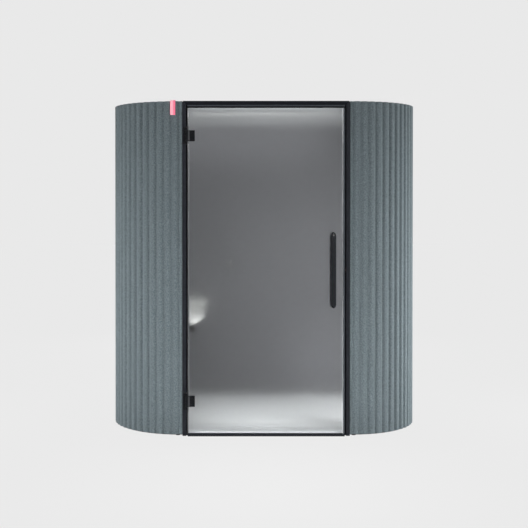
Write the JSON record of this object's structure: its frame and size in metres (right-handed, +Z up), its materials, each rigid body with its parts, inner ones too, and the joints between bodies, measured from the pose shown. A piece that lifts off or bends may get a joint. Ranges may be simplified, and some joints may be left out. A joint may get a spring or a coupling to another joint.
{
  "type": "acoustic office pod",
  "caption": "Free-standing acoustic cabin with rounded, vertically fluted felt walls, a framed frosted glass door that swings out, and a worktop, light and fans inside.",
  "frame": {"origin": "floor level under the middle of the whole object, pull handle included", "axes": "+Z up, +X to the right seen from the door, -Y out through the door"},
  "size_m": [2.1188, 1.4098, 2.2497],
  "materials": {
    "felt_outer": "pressed wool-look felt, grey-blue, vertically fluted",
    "felt_lining": "flat felt lining, dark grey",
    "wall_core": "fibre board acoustic core",
    "frame_black": "black powder-coated extrusion",
    "handle_black": "black powder-coated bar, satin",
    "hinge_black": "black coated steel",
    "bracket_black": "black coated folded steel",
    "steel": "plain steel, brushed",
    "threshold_metal": "anodised bar",
    "frosted_glass": "satin-etched laminated glass",
    "seal_rubber": "soft black profile",
    "deck_board": "black film-faced board",
    "roof_board": "dark board, satin film",
    "carpet": "low loop carpet, pale grey",
    "white_board": "white melamine-faced board",
    "white_metal": "white coated folded steel",
    "white_plastic": "white moulded plastic",
    "black_plastic": "black moulded plastic, fine grain",
    "supply_case": "dark moulded case",
    "diffuser": "opal diffuser",
    "tab_fabric": "woven pink ribbon"
  },
  "bodies": {
    "cabin": {"left_end_felt": "felt_outer", "rear_felt": "felt_outer", "right_end_felt": "felt_outer", "left_end_lining": "felt_lining", "rear_lining": "felt_lining", "right_end_lining": "felt_lining", "left_end_core": "wall_core", "rear_core": "wall_core", "right_end_core": "wall_core", "frame_jamb_left": "frame_black", "frame_jamb_right": "frame_black", "frame_head": "frame_black", "lower_hinge_frame_leaf": "hinge_black", "upper_hinge_frame_leaf": "hinge_black", "worktop_bracket_front": "bracket_black", "worktop_bracket_rear": "bracket_black", "worktop_bracket_side": "bracket_black", "lower_hinge_pin": "steel", "upper_hinge_pin": "steel", "strike_plate": "steel", "threshold": "threshold_metal", "frame_seal": "seal_rubber", "base_deck": "deck_board", "roof_panel": "roof_board", "floor_carpet": "carpet", "ceiling_panel": "white_board", "worktop": "white_board", "worktop_upstand": "white_board", "light_housing": "white_metal", "presence_sensor": "white_plastic", "fan_housing_left": "black_plastic", "fan_housing_right": "black_plastic", "power_module": "black_plastic", "control_plate": "black_plastic", "mains_inlet": "black_plastic", "power_supply": "supply_case", "light_diffuser": "diffuser", "fabric_tab": "tab_fabric"},
    "door": {"door_glass": "frosted_glass", "door_top_rail": "frame_black", "door_bottom_rail": "frame_black", "door_lock_stile": "frame_black", "door_sweep": "seal_rubber", "handle_outer": "handle_black", "handle_inner": "handle_black", "lower_hinge_glass_leaf": "hinge_black", "lower_hinge_clamp_plate": "hinge_black", "upper_hinge_glass_leaf": "hinge_black", "upper_hinge_clamp_plate": "hinge_black"},
    "latch": {"latch_bolt": "steel"},
    "fan_left": {"fan_rotor_left": "black_plastic"},
    "fan_right": {"fan_rotor_right": "black_plastic"},
    "button": {"control_button": "white_plastic"},
    "foot_front_left": {"foot_front_left": "black_plastic"},
    "foot_front_right": {"foot_front_right": "black_plastic"},
    "foot_side_left": {"foot_side_left": "black_plastic"},
    "foot_side_right": {"foot_side_right": "black_plastic"},
    "foot_rear_left": {"foot_rear_left": "black_plastic"},
    "foot_rear_right": {"foot_rear_right": "black_plastic"}
  },
  "joints": [
    {"name": "door_swing", "type": "hinge", "parent": "cabin", "child": "door", "pos_m": [-0.5295, -0.6573, 1.125], "axis": [0, 0, -1], "range_deg": [0, 110]},
    {"name": "latch_retract", "type": "slide", "parent": "door", "child": "latch", "axis": [-1, 0, 0], "range_m": [0, 0.003], "stiffness_N_per_m": 900},
    {"name": "fan_left_spin", "type": "hinge", "parent": "cabin", "child": "fan_left", "pos_m": [-0.43, 0.27, 2.21], "axis": [0, 0, 1], "continuous": true},
    {"name": "fan_right_spin", "type": "hinge", "parent": "cabin", "child": "fan_right", "pos_m": [0.43, 0.27, 2.21], "axis": [0, 0, 1], "continuous": true},
    {"name": "button_press", "type": "slide", "parent": "cabin", "child": "button", "axis": [0, 1, 0], "range_m": [0, 0.003], "stiffness_N_per_m": 600},
    {"name": "foot_front_left_level", "type": "slide", "parent": "cabin", "child": "foot_front_left", "axis": [0, 0, -1], "range_m": [0, 0.008]},
    {"name": "foot_front_right_level", "type": "slide", "parent": "cabin", "child": "foot_front_right", "axis": [0, 0, -1], "range_m": [0, 0.008]},
    {"name": "foot_side_left_level", "type": "slide", "parent": "cabin", "child": "foot_side_left", "axis": [0, 0, -1], "range_m": [0, 0.008]},
    {"name": "foot_side_right_level", "type": "slide", "parent": "cabin", "child": "foot_side_right", "axis": [0, 0, -1], "range_m": [0, 0.008]},
    {"name": "foot_rear_left_level", "type": "slide", "parent": "cabin", "child": "foot_rear_left", "axis": [0, 0, -1], "range_m": [0, 0.008]},
    {"name": "foot_rear_right_level", "type": "slide", "parent": "cabin", "child": "foot_rear_right", "axis": [0, 0, -1], "range_m": [0, 0.008]}
  ]
}
